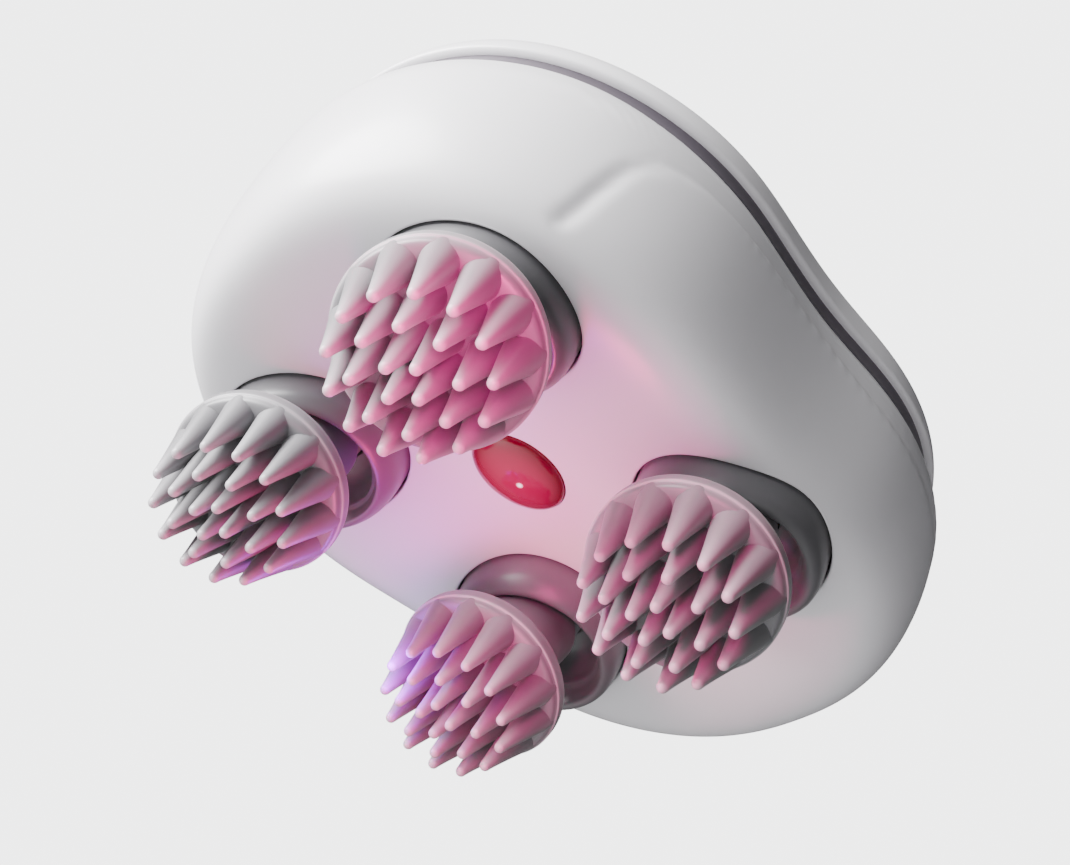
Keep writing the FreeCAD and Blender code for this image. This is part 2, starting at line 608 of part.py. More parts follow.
def screws(name, places, under_head, shank, head_up=True):
    """Identical pan-head screws, as separate solids of one node."""
    made = []
    for index, (x, y) in enumerate(places):
        head_level = under_head if head_up else f"{under_head} - screw_head"
        shank_level = f"{under_head} - {shank}" if head_up else under_head
        head = cylinder(f"{name}_head_{index}", "2*screw_radius", "screw_head", x, y, head_level)
        stem = cylinder(f"{name}_stem_{index}", "screw_radius", shank, x, y, shank_level)
        made.append(fuse(f"{name}_{index}", [head, stem]))
    node(name, group(name, made))


screws("base_screws", POSTS, BASE_TOP, "screw_deep")
screws("deck_screws", DECK_POSTS, DECK_TOP, "screw_deep")
screws("motor_screws", motor_screw_places, DECK, "short_screw", head_up=False)

# Motor.
can = cylinder("can", "motor_radius", "motor_tall", MOTOR_X, "0", DECK_TOP)
can_boss = cylinder("can_boss", "motor_boss", "boss_tall", MOTOR_X, "0", f"{DECK_TOP} - boss_tall")
can_room = cylinder("can_room", "motor_radius - can_wall", "motor_tall", MOTOR_X, "0",
                    f"{DECK_TOP} + can_wall")
can_bore = cylinder("can_bore", "motor_shaft + running_gap", "drill", MOTOR_X, "0",
                    f"{DECK_TOP} - 2*boss_tall")
can_holes = [cylinder(f"can_hole_{index}", "screw_radius", "2*can_wall", x, y, f"{DECK_TOP} - can_wall/2")
             for index, (x, y) in enumerate(motor_screw_places)]
node("motor_can", cut("motor_can", fuse("can_outside", [can, can_boss]), [can_room, can_bore] + can_holes))
end_cap = cylinder("end_cap", "motor_radius - can_wall", "cap_thick", MOTOR_X, "0",
                   f"{DECK_TOP} + motor_tall - cap_thick")
end_bore = cylinder("end_bore", "motor_shaft + running_gap", "2*cap_thick", MOTOR_X, "0",
                    f"{DECK_TOP} + motor_tall - 1.5*cap_thick")
node("motor_end_cap", cut("motor_end_cap", end_cap, [end_bore]))
shaft_low = "ring_height + second_level - gear_gap"
node("motor_shaft", cylinder("motor_shaft_pin", "motor_shaft",
                             "deck_level + deck_thick + motor_tall - second_level",
                             MOTOR_X, "0", shaft_low))
winding = cylinder("winding", "motor_radius - can_wall - winding_gap", "winding_tall", MOTOR_X, "0",
                   f"{DECK_TOP} + winding_low")
winding_bore = cylinder("winding_bore", "motor_shaft", "motor_tall", MOTOR_X, "0", DECK_TOP)
node("motor_rotor", cut("motor_rotor", winding, [winding_bore]))

# Battery and control board.
node("battery_cell", rounded_box("battery_cell", "battery_length", "battery_width", "battery_thick",
                                 "battery_corner", "0 - battery_place", "0", DECK_TOP))
board_x = "socket_face - board_back - board_length/2"
board_low = "ring_height + board_level"
node("control_board", box("control_board", "board_length", "board_width", "board_thick",
                          board_x, "0", board_low))
board_top = "ring_height + board_level + board_thick"
chips = [box("chip_driver", "driver_length", "driver_width", "chip_tall", board_x, "driver_place", board_top),
         box("chip_charger", "charger_side", "charger_side", "chip_tall", board_x, "0 - charger_place",
             board_top),
         cylinder("board_capacitor", "capacitor_radius", "capacitor_tall", board_x, "0 - capacitor_place",
                  board_top)]
node("board_chips", group("board_chips", chips))
socket_shell = lying_slot("socket_outside", "socket_deep", "socket_wide", "socket_tall",
                          "socket_face - socket_deep", SOCKET_LEVEL)
socket_room = lying_slot("socket_room", "socket_deep", "socket_wide - socket_wall",
                         "socket_tall - socket_wall", "socket_face - socket_deep + socket_back", SOCKET_LEVEL)
tongue = place(box("socket_tongue", "tongue_long", "tongue_wide", "tongue_thick"), "socket_face - tongue_set",
               "0 - tongue_wide/2", f"{SOCKET_LEVEL} - tongue_thick/2")
node("charging_socket", fuse("charging_socket", [cut("socket_tube", socket_shell, [socket_room]), tongue]))

# Lamp: an oval red lens in the middle of the belly, its seal, and a small board of light chips.
belly_middle = "ring_height + belly_level + dish_depth"


def oval_block(name, long_half, wide_half, height, level):
    curve = doc.addObject("Part::Ellipse", name + "_curve")
    bind(curve, "MajorRadius", long_half)
    bind(curve, "MinorRadius", wide_half)
    item = doc.addObject("Part::Extrusion", name)
    item.Base = curve
    item.DirMode = "Custom"
    item.Dir = Vector(0, 0, 1)
    item.Solid = True
    bind(item, "LengthFwd", height)
    return place(item, "heads_middle", "0", level)


bulge = doc.addObject("Part::Ellipsoid", "lens_bulge")
bind(bulge, "Radius1", "lens_bulge")
bind(bulge, "Radius2", "lens_long - lens_gap")
bind(bulge, "Radius3", "lens_wide - lens_gap")
bulge.Angle1 = -90
bulge.Angle2 = 0
place(bulge, "heads_middle", "0", belly_middle)
lens_barrel = oval_block("lens_barrel", "lens_long - lens_gap", "lens_wide - lens_gap", "lens_barrel",
                         belly_middle)
seal_low = f"{belly_middle} + wall + seal_gap"
lens_rim = oval_block("lens_rim", "lens_long + lens_flange", "lens_wide + lens_flange", "lens_rim",
                      f"{seal_low} + seal_thick")
lens_room = oval_block("lens_room", "lens_long - lens_wall", "lens_wide - lens_wall", "drill",
                       f"{belly_middle} + lens_front")
node("lamp_lens", cut("lamp_lens", fuse("lens_solid", [bulge, lens_barrel, lens_rim]), [lens_room]))
seal_outer = oval_block("seal_outer", "lens_long + lens_flange", "lens_wide + lens_flange", "seal_thick",
                        seal_low)
seal_inner = oval_block("seal_inner", "lens_long", "lens_wide", "2*seal_thick", f"{seal_low} - seal_thick/2")
node("lens_seal", cut("lens_seal", seal_outer, [seal_inner]))
lamp_level = f"{seal_low} + seal_thick + lens_rim"
node("lamp_board", cylinder("lamp_board", "lens_long + lamp_board_rim", "lamp_board_thick",
                            "heads_middle", "0", lamp_level))
lamps = [box(f"lamp_chip_{index}", "lamp_chip", "lamp_chip", "lamp_chip_tall", f"heads_middle + {shift}", "0",
             f"{lamp_level} - lamp_chip_tall")
         for index, shift in enumerate(("0 - lamp_pitch", "0", "lamp_pitch"))]
node("lamp_chips", group("lamp_chips", lamps))

# Power button in the middle of the cover, its ring, and the switch under it.
button = cylinder("button_drum", "button_radius", "button_tall", "0", "0", "ring_height + button_level")
node("power_button", button)
ring_tall = "lip_level + groove_gap + dome_rise - button_level + button_stand"
ring_outside = cylinder("ring_outside", "button_ring", ring_tall, "0", "0",
                        "ring_height + button_level - button_stand")
ring_bore = cylinder("ring_bore", "button_radius + button_gap", "drill", "0", "0",
                     "ring_height + button_level - 2*button_stand")
node("button_ring", cut("button_ring", ring_outside, [ring_bore]))
node("button_board", cylinder("button_board", "button_ring + seat_rim", "button_board_thick", "0", "0",
                              "ring_height + button_level - seat_drop - button_board_thick"))
node("power_switch", box("power_switch", "switch_side", "switch_side", "switch_tall", "0", "0",
                         "ring_height + button_level - seat_drop"))

doc.recompute()

for item in doc.Objects:
    if "Invalid" in item.State or "Error" in item.State:
        raise RuntimeError(f"{item.Name} failed: {item.State}")
for label, item in nodes.items():
    if item.Shape.isNull() or not item.Shape.isValid() or not item.Shape.Solids:
        raise RuntimeError(f"{label} has no valid solid")

os.makedirs("parts", exist_ok=True)
whole = FreeCAD.BoundBox()
for label, item in nodes.items():
    item.Shape.exportStep(f"parts/{label}.step")
    whole.add(item.Shape.BoundBox)
    print(f"{label}: {len(item.Shape.Solids)} solid, {item.Shape.Volume:.1f} mm3")
print(f"{len(nodes)} nodes, X {whole.XMin:.2f} to {whole.XMax:.2f}, Y {whole.YMin:.2f} to {whole.YMax:.2f},"
      f" Z {whole.ZMin:.2f} to {whole.ZMax:.2f}")
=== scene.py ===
import json
import math

import bmesh
import bpy
import numpy as np
from mathutils import Matrix, Vector

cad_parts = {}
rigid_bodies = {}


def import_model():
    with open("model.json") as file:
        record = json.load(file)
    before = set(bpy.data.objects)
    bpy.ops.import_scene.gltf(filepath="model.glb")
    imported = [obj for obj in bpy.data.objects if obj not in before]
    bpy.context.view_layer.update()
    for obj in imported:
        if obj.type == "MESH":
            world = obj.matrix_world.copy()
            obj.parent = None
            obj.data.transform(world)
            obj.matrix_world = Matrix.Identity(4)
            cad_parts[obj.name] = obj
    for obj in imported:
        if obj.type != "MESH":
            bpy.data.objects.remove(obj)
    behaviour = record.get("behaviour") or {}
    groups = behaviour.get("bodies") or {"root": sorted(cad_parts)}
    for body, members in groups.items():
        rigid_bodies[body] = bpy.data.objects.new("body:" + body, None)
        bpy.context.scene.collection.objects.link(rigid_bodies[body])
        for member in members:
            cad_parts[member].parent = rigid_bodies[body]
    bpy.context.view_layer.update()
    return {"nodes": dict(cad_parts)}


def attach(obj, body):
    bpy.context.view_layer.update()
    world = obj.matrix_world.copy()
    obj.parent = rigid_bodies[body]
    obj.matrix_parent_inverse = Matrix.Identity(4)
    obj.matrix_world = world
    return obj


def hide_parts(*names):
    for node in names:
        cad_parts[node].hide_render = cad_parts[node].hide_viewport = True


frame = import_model()
mm = 0.001
print("frame loaded:", len(frame["nodes"]), "nodes")

# where things are, in millimetres in the row frame; the same values as the CAD
place = {"ringHeight": 29.96, "headsMiddle": -4.25, "alongX": 22.34, "acrossY": 21.2, "pivotRise": 4.2,
         "lean": 21.0, "headings": {"a": -115.0, "b": -127.0, "c": -154.0, "d": -144.0}}
outlineShape = {"halfLength": 57.7, "halfWidth": 45.8, "cornerPower": 2.33, "endTaper": 0.07,
                "waistDepth": 0.09, "waistPlace": 13.2, "waistSpread": 19.9}
headCentres = {"a": (-1, -1), "b": (-1, 1), "c": (1, 1), "d": (1, -1)}


def headCentre(letter):
    signX, signY = headCentres[letter]
    return place["headsMiddle"] + signX * place["alongX"], signY * place["acrossY"]


def leanMatrix(letter):
    # local +Z runs up along the slanted pin, local -X is the low side of the head
    return (Matrix.Rotation(math.radians(place["headings"][letter]), 3, "Z")
            @ Matrix.Rotation(math.radians(-place["lean"]), 3, "Y"))


def gridFaces(rows, columns, closeRows, closeColumns, start):
    # quads between neighbouring grid points, wrapping round where the grid is closed
    r = np.arange(rows if closeRows else rows - 1)
    c = np.arange(columns if closeColumns else columns - 1)
    i, j = np.meshgrid(r, c, indexing="ij")
    iNext, jNext = (i + 1) % rows, (j + 1) % columns
    quads = np.stack([i * columns + j, iNext * columns + j, iNext * columns + jNext, i * columns + jNext], -1)
    return quads.reshape(-1, 4) + start


def meshPiece(name, grids, body, material, replaces=(), sharp=35, attributes=None):
    # joins (points, closeRows, closeColumns) grids into one mesh, welds seams and poles, turns faces outwards
    points, faces, count = [], [], 0
    for grid, closeRows, closeColumns in grids:
        rows, columns = grid.shape[:2]
        faces.append(gridFaces(rows, columns, closeRows, closeColumns, count))
        points.append(grid.reshape(-1, 3))
        count += rows * columns
    points = np.concatenate(points) * mm
    faces = np.concatenate(faces)
    mesh = bpy.data.meshes.new(name)
    mesh.from_pydata(points, [], faces)
    if attributes:
        for label, values in attributes.items():
            layer = mesh.attributes.new(label, "FLOAT", "POINT")
            layer.data.foreach_set("value", np.asarray(values, np.float32))
    work = bmesh.new()
    work.from_mesh(mesh)
    bmesh.ops.remove_doubles(work, verts=work.verts, dist=2e-6)
    bmesh.ops.dissolve_degenerate(work, edges=work.edges, dist=1e-7)
    bmesh.ops.recalc_face_normals(work, faces=work.faces)
    work.to_mesh(mesh)
    work.free()
    mesh.polygons.foreach_set("use_smooth", np.ones(len(mesh.polygons), bool))
    mesh.set_sharp_from_angle(angle=math.radians(sharp))
    piece = bpy.data.objects.new(name, mesh)
    bpy.context.scene.collection.objects.link(piece)
    mesh.materials.append(material)
    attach(piece, body)
    if replaces:
        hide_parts(*replaces)
    return piece


def turned(profile, sides):
    # a (radius, height) profile carried round the Z axis
    profile = np.asarray(profile, float)
    angle = np.linspace(0, 2 * math.pi, sides, endpoint=False)
    radius, height = profile[:, :1], profile[:, 1:]
    return np.stack([radius * np.cos(angle), radius * np.sin(angle), height + 0 * angle], -1)


def smoothLine(points, steps=8):
    # Catmull-Rom curve through the given points, several steps per span
    points = np.asarray(points, float)
    padded = np.vstack([2 * points[0] - points[1], points, 2 * points[-1] - points[-2]])
    t = np.linspace(0, 1, steps, endpoint=False)[:, None]
    spans = []
    for index in range(len(points) - 1):
        a, b, c, d = padded[index:index + 4]
        spans.append(0.5 * (2 * b + (c - a) * t + (2 * a - 5 * b + 4 * c - d) * t ** 2
                            + (3 * b - a - 3 * c + d) * t ** 3))
    return np.vstack(spans + [points[-1:]])


def outline(angle, inset):
    # superellipse with a taper to +X and a waist, pulled in by inset
    s = outlineShape
    c, n = np.cos(angle), np.sin(angle)
    reach = ((np.abs(c) / s["halfLength"]) ** s["cornerPower"]
             + (np.abs(n) / s["halfWidth"]) ** s["cornerPower"]) ** (-1 / s["cornerPower"])
    x = reach * c
    waist = s["waistDepth"] * np.exp(-((x - s["waistPlace"]) / s["waistSpread"]) ** 2)
    y = reach * n * (1 - s["endTaper"] * x / s["halfLength"] - waist)
    keep = 1 - inset / np.hypot(x, y)
    return np.stack([x * keep, y * keep], -1)


def oval(angle, middle, halfX, halfY):
    return np.stack([middle + halfX * np.cos(angle), halfY * np.sin(angle)], -1)


def nodeGroup(name, inputs, outputs):
    # an empty shader node group with its sockets: (name, kind, default)
    group = bpy.data.node_groups.new(name, "ShaderNodeTree")
    for label, kind, default in inputs:
        socket = group.interface.new_socket(name=label, in_out="INPUT", socket_type=kind)
        if default is not None:
            socket.default_value = default
    for label, kind in outputs:
        group.interface.new_socket(name=label, in_out="OUTPUT", socket_type=kind)
    return group, group.nodes.new("NodeGroupInput"), group.nodes.new("NodeGroupOutput")


def makeMouldGrain():
    # fine moulded grain: a mottled colour, an uneven gloss and a height for bump
    group, source, sink = nodeGroup(
        "mouldGrain",
        [("Color", "NodeSocketColor", (0.8, 0.8, 0.8, 1)), ("Darker", "NodeSocketFloat", 0.9),
         ("Roughness", "NodeSocketFloat", 0.4), ("Spread", "NodeSocketFloat", 0.1),
         ("Patches", "NodeSocketFloat", 90.0), ("Grain", "NodeSocketFloat", 2500.0)],
        [("Color", "NodeSocketColor"), ("Roughness", "NodeSocketFloat"), ("Height", "NodeSocketFloat")])
    n, link = group.nodes, group.links.new
    where = n.new("ShaderNodeTexCoord")
    patches, grain = n.new("ShaderNodeTexNoise"), n.new("ShaderNodeTexNoise")
    for noise, label in ((patches, "Patches"), (grain, "Grain")):
        link(where.outputs["Object"], noise.inputs["Vector"])
        link(source.outputs[label], noise.inputs["Scale"])
        noise.inputs["Detail"].default_value = 3
    shade = n.new("ShaderNodeMix")
    shade.data_type, shade.blend_type = "RGBA", "MULTIPLY"
    level = n.new("ShaderNodeMapRange")
    link(patches.outputs["Fac"], level.inputs["Value"])
    level.inputs["From Min"].default_value, level.inputs["From Max"].default_value = 0.3, 0.7
    link(source.outputs["Darker"], level.inputs["To Min"])
    level.inputs["To Max"].default_value = 1
    shade.inputs["Factor"].default_value = 1
    link(source.outputs["Color"], shade.inputs["A"])
    link(level.outputs["Result"], shade.inputs["B"])
    link(shade.outputs["Result"], sink.inputs["Color"])
    offset = n.new("ShaderNodeMath")
    offset.operation = "MULTIPLY_ADD"
    centred = n.new("ShaderNodeMath")
    centred.operation = "SUBTRACT"
    link(patches.outputs["Fac"], centred.inputs[0])
    centred.inputs[1].default_value = 0.5
    link(centred.outputs[0], offset.inputs[0])
    link(source.outputs["Spread"], offset.inputs[1])
    link(source.outputs["Roughness"], offset.inputs[2])
    link(offset.outputs[0], sink.inputs["Roughness"])
    link(grain.outputs["Fac"], sink.inputs["Height"])
    return group


mouldGrain = makeMouldGrain()


def finish(name, color, roughness, darker=0.92, spread=0.12, patches=90.0, grain=2500.0, bump=0.05,
           metallic=0.0, coat=0.0, coatRoughness=0.1, under=0.0, underScale=0.002, sheen=0.0):
    # one moulded, metal or rubber finish: the grain group feeds colour, gloss and bump
    material = bpy.data.materials.new(name)
    material.use_nodes = True
    n, link = material.node_tree.nodes, material.node_tree.links.new
    shader = n["Principled BSDF"]
    effect = n.new("ShaderNodeGroup")
    effect.node_tree = mouldGrain
    for label, value in (("Color", (*color, 1)), ("Darker", darker), ("Roughness", roughness),
                         ("Spread", spread), ("Patches", patches), ("Grain", grain)):
        effect.inputs[label].default_value = value
    relief = n.new("ShaderNodeBump")
    relief.inputs["Strength"].default_value = bump
    relief.inputs["Distance"].default_value = 0.0001
    link(effect.outputs["Color"], shader.inputs["Base Color"])
    link(effect.outputs["Roughness"], shader.inputs["Roughness"])
    link(effect.outputs["Height"], relief.inputs["Height"])
    link(relief.outputs["Normal"], shader.inputs["Normal"])
    for label, value in (("Metallic", metallic), ("Coat Weight", coat), ("Coat Roughness", coatRoughness),
                         ("Subsurface Weight", under), ("Sheen Weight", sheen)):
        shader.inputs[label].default_value = value
    if under:
        shader.inputs["Subsurface Radius"].default_value = (1, 1, 1)
        shader.inputs["Subsurface Scale"].default_value = underScale
    return material


shellWhite = finish("shell_gloss_white", (0.74, 0.725, 0.75), 0.38, darker=0.985, spread=0.05, patches=40,
                    grain=900, bump=0.02, coat=0.15, coatRoughness=0.2)
# dark seam band: partly its own dark grey, partly painted shade of the groove, slightly purple
bandDarkWithShade = finish("band_satin", (0.10, 0.085, 0.105), 0.42, darker=0.9)
bootGrey = finish("boot_silicone", (0.12, 0.117, 0.125), 0.36, darker=0.9, patches=140, bump=0.08, sheen=0.1)
frameGrey = finish("frame_plastic", (0.45, 0.45, 0.47), 0.5, bump=0.12)
corePlastic = finish("core_plastic", (0.28, 0.28, 0.30), 0.45, bump=0.1)
gearAcetal = finish("gear_acetal", (0.72, 0.69, 0.60), 0.38, darker=0.94)
boltSteel = finish("steel_turned", (0.60, 0.60, 0.62), 0.28, darker=0.85, metallic=1.0, grain=6000, bump=0.1)
bushBronze = finish("bronze_sintered", (0.62, 0.44, 0.24), 0.4, darker=0.8, metallic=1.0, grain=4000,
                    bump=0.15)
copperWound = finish("copper_winding", (0.75, 0.34, 0.18), 0.35, darker=0.8, metallic=1.0, grain=3000,
                     bump=0.2)
boardGreen = finish("board_mask", (0.03, 0.17, 0.08), 0.35, darker=0.85, coat=0.3)
chipBlack = finish("chip_epoxy", (0.02, 0.02, 0.022), 0.5, bump=0.15)
batteryBlue = finish("battery_wrap", (0.05, 0.14, 0.34), 0.3, darker=0.9, coat=0.2)
ledWhite = finish("lamp_chip", (0.85, 0.80, 0.55), 0.4)
buttonWhite = finish("button_gloss", (0.80, 0.80, 0.82), 0.22, darker=0.985, spread=0.04, bump=0.02, coat=0.5)
ringChrome = finish("ring_plated", (0.78, 0.78, 0.80), 0.12, darker=0.95, metallic=1.0, bump=0.02)


def makeFingerSilicone():
    # grey silicone, paler towards the finger tips, with a painted highlight as a pale line along the rim's
    # edge (a point attribute gives both)
    material = finish("head_silicone", (0.17, 0.165, 0.175), 0.40, darker=0.93, patches=160, bump=0.06,
                      under=0.12, underScale=0.0015, sheen=0.15)
    n, link = material.node_tree.nodes, material.node_tree.links.new
    pale = n.new("ShaderNodeAttribute")
    pale.attribute_name = "pale"
    mix = n.new("ShaderNodeMix")
    mix.data_type = "RGBA"
    # the pale colour: paler finger tips, and the painted highlight along the rim
    mix.inputs["B"].default_value = (0.40, 0.38, 0.40, 1)
    grain = next(item for item in n if item.type == "GROUP")
    link(pale.outputs["Fac"], mix.inputs["Factor"])
    link(grain.outputs["Color"], mix.inputs["A"])
    link(mix.outputs["Result"], n["Principled BSDF"].inputs["Base Color"])
    return material


def makeLampRed():
    # lit red lens, the real lamp: deep at its rim and brighter in the middle, plus a painted white highlight
    # near the middle, all as emission (from a point attribute)
    material = finish("lamp_red", (0.12, 0.0, 0.004), 0.12, darker=0.9, spread=0.02, bump=0.0, coat=0.2,
                      coatRoughness=0.03)
    n, link = material.node_tree.nodes, material.node_tree.links.new
    glow = n.new("ShaderNodeAttribute")
    glow.attribute_name = "glow"
    ramp = n.new("ShaderNodeValToRGB")
    stops = ramp.color_ramp.elements
    # ramp: near-black red at the rim, the lamp's red in the middle, then pink to white at the top for the
    # painted highlight
    stops[0].position, stops[0].color = 0.0, (0.03, 0.0, 0.002, 1)
    stops[1].position, stops[1].color = 1.0, (1.0, 0.9, 0.95, 1)
    for position, color in ((0.45, (0.16, 0.0, 0.022, 1)), (0.86, (0.24, 0.0, 0.035, 1)),
                            (0.93, (0.8, 0.25, 0.35, 1))):
        stops.new(position).color = color
    link(glow.outputs["Fac"], ramp.inputs["Fac"])
    shader = n["Principled BSDF"]
    link(ramp.outputs["Color"], shader.inputs["Emission Color"])
    shader.inputs["Emission Strength"].default_value = 3.0
    return material


fingerSilicone = makeFingerSilicone()
lampRed = makeLampRed()

cadFinishes = {
    "clamp_ring": frameGrey, "gearbox": frameGrey, "motor_end_cap": frameGrey, "head_core": corePlastic,
    "crank_gear": gearAcetal, "central_gear": gearAcetal, "idler_gear": gearAcetal,
    "crank_bushes": bushBronze, "motor_pinion": bushBronze, "motor_rotor": copperWound,
    "control_board": boardGreen,
    "lamp_board": boardGreen, "button_board": boardGreen, "board_chips": chipBlack, "power_switch": chipBlack,
    "lens_seal": chipBlack, "lamp_chips": ledWhite, "battery_cell": batteryBlue,
}
for name, item in frame["nodes"].items():
    chosen = next((made for start, made in cadFinishes.items() if name.startswith(start)), boltSteel)
    item.data.materials.clear()
    item.data.materials.append(chosen)
print("finishes made")

shell = {"wall": 2.0, "widest": 18.3, "belly": -3.5, "bellyPower": 13, "dish": 6.0, "lip": 26.3,
         "lipInset": 2.7, "aroundSides": 560, "lensHalfX": 7.6, "lensHalfY": 6.1,
         "edgeRound": 0.45, "openingRadius": 14.0, "portWide": 9.6, "portTall": 3.8, "portHeight": 18.5}


def bellyLevel(weight, lift=0.0):
    # height above the ring plane of the belly at a share of the way from the lens to the outline
    depth = shell["widest"] - shell["belly"] - lift
    dish = shell["dish"] * (1 - weight ** 2) ** 2
    return shell["widest"] - depth * np.sqrt(np.clip(1 - weight ** shell["bellyPower"], 0, 1)) + dish


def shellRow(weight, inset, level, angle):
    core = oval(angle, place["headsMiddle"], shell["lensHalfX"], shell["lensHalfY"])
    flat = core + (outline(angle, inset) - core) * weight
    return np.concatenate([flat, np.full((len(angle), 1), place["ringHeight"] + level)], -1)


def shellSkin(angle, inset, lift):
    # rows from the lens hole out over the belly, round its edge and up to the lip
    rows = [shellRow(w, inset, bellyLevel(w, lift), angle) for w in np.linspace(0.0, 0.8, 56)]
    start = math.asin(0.8 ** (shell["bellyPower"] / 2))
    for turn in np.linspace(start, math.pi / 2, 40)[1:]:
        w = math.sin(turn) ** (2 / shell["bellyPower"])
        rows.append(shellRow(w, inset, bellyLevel(w, lift), angle))
    for share in np.linspace(0, 1, 30)[1:]:
        tuck = shell["lipInset"] * share ** 2
        level = shell["widest"] + (shell["lip"] - shell["widest"]) * share
        rows.append(shellRow(1, inset + tuck, level, angle))
    return np.stack(rows)


# a soft crease climbs from beside the first opening, then runs on under the lip as a faint line;
# its path is given in degrees round the outline and heights above the ring plane
crease = {"path": [(233, -0.5), (235.5, 2.5), (237.5, 7), (241, 13.5), (249, 16.6), (262, 17.5), (290, 18),
                   (315, 16.3), (335, 14.5)],
          "width": 1.2, "depth": 0.5,
          # as shares of the path: where it is at full depth, where it fades, and what stays as the faint line
          "fullBy": 0.08, "fadeFrom": 0.25, "fadeOver": 0.2, "fadeBy": 0.75, "taper": 0.3,
          # the tuck above the faint line: its shares of the path, then how far from the line it goes, in mm
          "tuck": 0.55, "tuckRise": 1.2, "tuckFrom": 0.28, "tuckOver": 0.3, "tuckEnd": 0.2,
          "tuckReach": 20, "tuckFade": 8}


def creasePath():
    spots = []
    for degrees, level in smoothLine(crease["path"], 8):
        # share of the way out at this height, from the belly's own curve
        below = (shell["widest"] - level) / (shell["widest"] - shell["belly"])
        weight = (1 - below ** 2) ** (1 / shell["bellyPower"])
        spots.append(shellRow(weight, 0, level, np.radians([degrees]))[0])
    return np.array(spots)


def creased(skin):
    # sinks the crease by depth * exp(-(distance / width)^2) and tucks in the band above the faint line
    path = creasePath()
    near = np.full(skin.shape[:2], 1e9)
    along = np.zeros(skin.shape[:2])
    line = np.zeros(skin.shape[:2])
    for index, spot in enumerate(path):
        away = np.sum((skin - spot) ** 2, -1)
        closer = away < near
        near = np.where(closer, away, near)
        along = np.where(closer, index / (len(path) - 1), along)
        line = np.where(closer, spot[2], line)
    start = np.clip(along / crease["fullBy"], 0, 1)
    fade = 1 - crease["fadeBy"] * np.clip((along - crease["fadeFrom"]) / crease["fadeOver"], 0, 1)
    fade = fade * (1 - along) ** crease["taper"]
    sink = crease["depth"] * np.exp(-near / crease["width"] ** 2) * start * fade
    above = np.clip((skin[..., 2] - line) / crease["tuckRise"], 0, 1)
    span = np.clip((along - crease["tuckFrom"]) / crease["tuckOver"], 0, 1)
    span = span * np.clip((1 - along) / crease["tuckEnd"], 0, 1)
    span = span * np.clip((crease["tuckReach"] - np.sqrt(near)) / crease["tuckFade"], 0, 1)
    sink = sink + crease["tuck"] * above ** 2 * (3 - 2 * above) * span ** 2 * (3 - 2 * span)
    # inwards is towards a flattened middle of the shell
    inwards = skin * np.array([0.45, 0.45, 1.0]) - np.array([0, 0, 13 + place["ringHeight"]])
    inwards /= np.linalg.norm(inwards, axis=-1, keepdims=True)
    return skin - inwards * sink[..., None]


def surfaceLevel(x, y):
    # belly height at a point in plan, by Newton steps on (weight, angle)
    weight = np.full(np.shape(x), 0.5)
    angle = np.arctan2(y, x - place["headsMiddle"])

    def flat(w, a):
        core = oval(a, place["headsMiddle"], shell["lensHalfX"], shell["lensHalfY"])
        return core + (outline(a, 0) - core) * w[..., None]

    for _ in range(14):
        here = flat(weight, angle)
        byWeight = (flat(weight + 1e-5, angle) - here) / 1e-5
        byAngle = (flat(weight, angle + 1e-5) - here) / 1e-5
        miss = np.stack([x, y], -1) - here
        det = byWeight[..., 0] * byAngle[..., 1] - byWeight[..., 1] * byAngle[..., 0]
        weightStep = (miss[..., 0] * byAngle[..., 1] - miss[..., 1] * byAngle[..., 0]) / det
        angleStep = (byWeight[..., 0] * miss[..., 1] - byWeight[..., 1] * miss[..., 0]) / det
        weight = weight + np.clip(weightStep, -0.2, 0.2)
        angle = angle + np.clip(angleStep, -0.3, 0.3)
    return bellyLevel(weight)


def cutterMesh():
    # four opening drums and the port slot, as one closed mesh of separate solids
    grids = []
    for letter in headCentres:
        x, y = headCentre(letter)
        radius = shell["openingRadius"] + shell["edgeRound"]
        drum = turned([(0, -14), (radius, -14), (radius, 22), (0, 22)], 160)
        grids.append((drum + np.array([x, y, place["ringHeight"]]), False, True))
    half = shell["portTall"] / 2 + 0.25
    turn = np.linspace(0, 2 * math.pi, 48, endpoint=False)
    middle = (shell["portWide"] - shell["portTall"]) / 2
    slotY = half * np.cos(turn) + middle * np.sign(np.cos(turn))
    portLevel = place["ringHeight"] + shell["portHeight"]
    slotZ = half * np.sin(turn) + place["ringHeight"] + shell["portHeight"]
    rows = [np.stack([np.full(48, x), slotY * k, slotZ * k + (1 - k) * portLevel], -1)
            for x, k in ((50, 0), (50, 1), (64, 1), (64, 0))]
    grids.append((np.stack(rows), False, True))
    return grids


